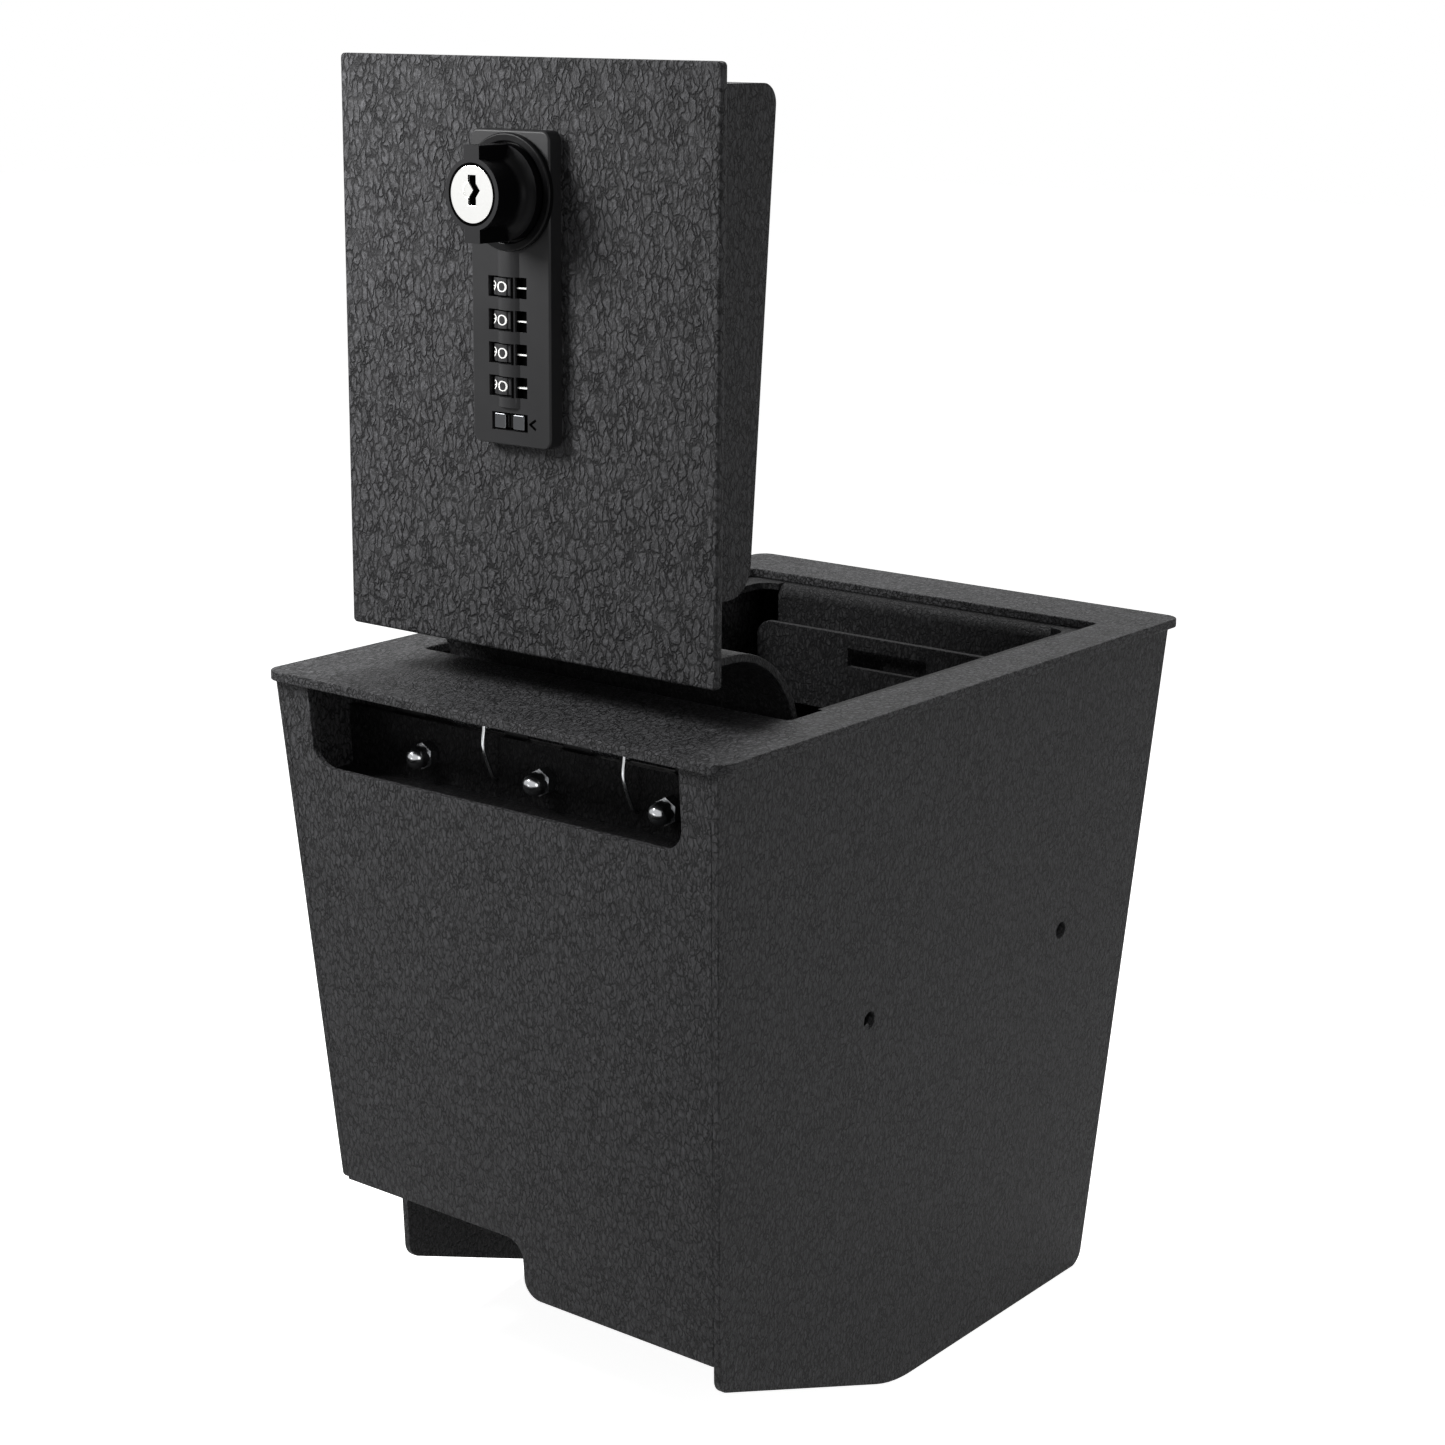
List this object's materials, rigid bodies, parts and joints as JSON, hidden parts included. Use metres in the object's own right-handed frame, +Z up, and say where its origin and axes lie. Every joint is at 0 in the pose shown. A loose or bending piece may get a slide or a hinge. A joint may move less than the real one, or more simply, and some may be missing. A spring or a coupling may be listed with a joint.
{
  "type": "console cash safe",
  "caption": "Tapered steel cash safe for a vehicle console, with a sprung drop-in lid on a neck hinge and a dial lock with a keyed knob and cam.",
  "frame": {"origin": "under the middle of the box, on the surface that it stands on", "axes": "+X to the right, +Y to the rear, +Z up, seen from the hinge side"},
  "size_m": [0.19, 0.27, 0.4441],
  "materials": {
    "black_wrinkle_coat": "black wrinkle powder coat on steel",
    "black_hinge_steel": "black coated steel",
    "bright_steel": "bright plated steel",
    "satin_black_zinc": "satin black on die-cast zinc",
    "black_knob": "semi-gloss black",
    "black_dial_plastic": "moulded with white filled numbers",
    "polished_nickel": "polished nickel plate",
    "zinc_plate": "zinc plated steel"
  },
  "bodies": {
    "box": {"top_frame": "black_wrinkle_coat", "front_wall": "black_wrinkle_coat", "rear_wall": "black_wrinkle_coat", "left_wall": "black_wrinkle_coat", "right_wall": "black_wrinkle_coat", "floor_panel": "black_wrinkle_coat", "lid_rest_frame": "black_wrinkle_coat", "latch_strike": "black_wrinkle_coat", "hinge_panel": "black_wrinkle_coat", "fixed_leaf": "black_hinge_steel", "hinge_pin": "bright_steel", "hinge_bolts": "bright_steel", "dome_nuts": "bright_steel", "left_spring": "bright_steel", "right_spring": "bright_steel"},
    "lid": {"lid_plate": "black_wrinkle_coat", "lid_channel": "black_wrinkle_coat", "gooseneck_bracket": "black_wrinkle_coat", "lock_housing": "satin_black_zinc", "lock_collar": "satin_black_zinc", "lock_back_cover": "zinc_plate", "lock_screws": "bright_steel", "dial_spindle": "bright_steel"},
    "knob": {"knob": "black_knob", "cam_shaft": "zinc_plate", "latch_cam": "zinc_plate", "cam_washer": "bright_steel", "cam_nut": "bright_steel"},
    "key": {"key_plug": "polished_nickel"},
    "slider": {"code_slider": "polished_nickel"},
    "dial_1": {"dial_wheel_1": "black_dial_plastic"},
    "dial_2": {"dial_wheel_2": "black_dial_plastic"},
    "dial_3": {"dial_wheel_3": "black_dial_plastic"},
    "dial_4": {"dial_wheel_4": "black_dial_plastic"}
  },
  "joints": [
    {"name": "lid_hinge", "type": "hinge", "parent": "box", "child": "lid", "pos_m": [0, -0.1023, 0.23765], "axis": [-1, 0, 0], "range_deg": [0, 90], "stiffness_Nm_per_rad": 0.6, "springref_deg": -68.75, "deforming": ["left_spring", "right_spring"]},
    {"name": "knob_turn", "type": "hinge", "parent": "lid", "child": "knob", "pos_m": [0, -0.11295, 0.40495], "axis": [0, -1, 0], "range_deg": [0, 90]},
    {"name": "key_turn", "type": "hinge", "parent": "knob", "child": "key", "pos_m": [0, -0.11295, 0.40495], "axis": [0, -1, 0], "range_deg": [0, 90]},
    {"name": "code_slide", "type": "slide", "parent": "lid", "child": "slider", "axis": [1, 0, 0], "range_m": [0, 0.0015]},
    {"name": "dial_1_spin", "type": "hinge", "parent": "lid", "child": "dial_1", "pos_m": [-0.0033, -0.11135, 0.37685], "axis": [0, 0, 1], "continuous": true},
    {"name": "dial_2_spin", "type": "hinge", "parent": "lid", "child": "dial_2", "pos_m": [-0.0033, -0.11135, 0.3669], "axis": [0, 0, 1], "continuous": true},
    {"name": "dial_3_spin", "type": "hinge", "parent": "lid", "child": "dial_3", "pos_m": [-0.0033, -0.11135, 0.35695], "axis": [0, 0, 1], "continuous": true},
    {"name": "dial_4_spin", "type": "hinge", "parent": "lid", "child": "dial_4", "pos_m": [-0.0033, -0.11135, 0.347], "axis": [0, 0, 1], "continuous": true}
  ]
}
